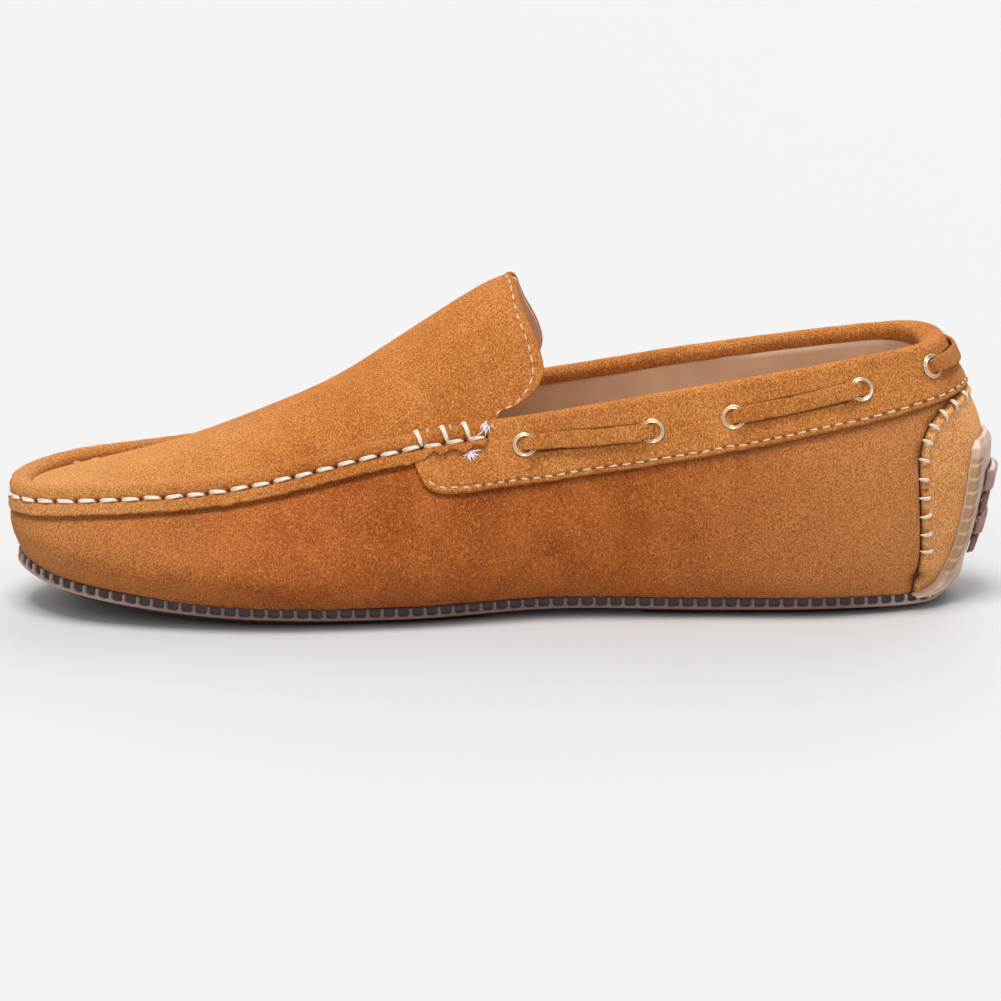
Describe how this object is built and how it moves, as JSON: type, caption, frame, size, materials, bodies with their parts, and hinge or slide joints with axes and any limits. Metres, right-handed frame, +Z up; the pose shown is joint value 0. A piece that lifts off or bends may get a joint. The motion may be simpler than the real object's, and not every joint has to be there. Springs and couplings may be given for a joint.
{
  "type": "moccasin",
  "caption": "Suede driving moccasin: raised hand-sewn apron, leather-laced collar through eyelets, notched clear rubber outsole that climbs the heel.",
  "frame": {"origin": "centre of the shoe's footprint box on the ground plane, under the tread", "axes": "-X towards the toe, +X towards the heel, -Y towards the inner side of the foot, +Z up from the ground"},
  "size_m": [0.293, 0.0979, 0.0963],
  "materials": {
    "rubber_clear": "translucent honey-brown, satin",
    "rubber_brown": "satin",
    "board": "pressed fibre, matte",
    "foam": "open-cell foam, matte",
    "sock_leather": "smooth, satin",
    "suede_wall": "suede, matte",
    "suede_heel": "suede, matte",
    "counter": "pressed fibreboard, matte",
    "lining_leather": "smooth, satin",
    "suede_apron": "suede, matte",
    "suede_band": "suede, matte",
    "piping": "cotton cord, matte",
    "brass": "pale gold plate, polished",
    "lace_suede": "suede, matte",
    "thread": "waxed cotton, matte"
  },
  "bodies": {
    "root": {"outsole": "rubber_clear", "forefoot_tread": "rubber_brown", "heel_tread": "rubber_brown", "heel_back_tread": "rubber_brown", "lasting_board": "board", "footbed_foam": "foam", "sock_liner": "sock_leather", "vamp_wall": "suede_wall", "heel_panel": "suede_heel", "heel_counter": "counter", "quarter_lining": "lining_leather", "apron": "suede_apron", "apron_lining": "lining_leather", "collar_band": "suede_band", "collar_filler": "piping", "eyelets_medial": "brass", "eyelets_lateral": "brass", "lace": "lace_suede", "apron_seam_thread": "thread", "apron_inner_thread": "thread", "throat_cross_stitches": "thread", "heel_seam_thread_medial": "thread", "heel_seam_thread_lateral": "thread", "collar_topstitch": "thread", "tongue_topstitch": "thread", "throat_bartacks": "thread"}
  },
  "joints": []
}
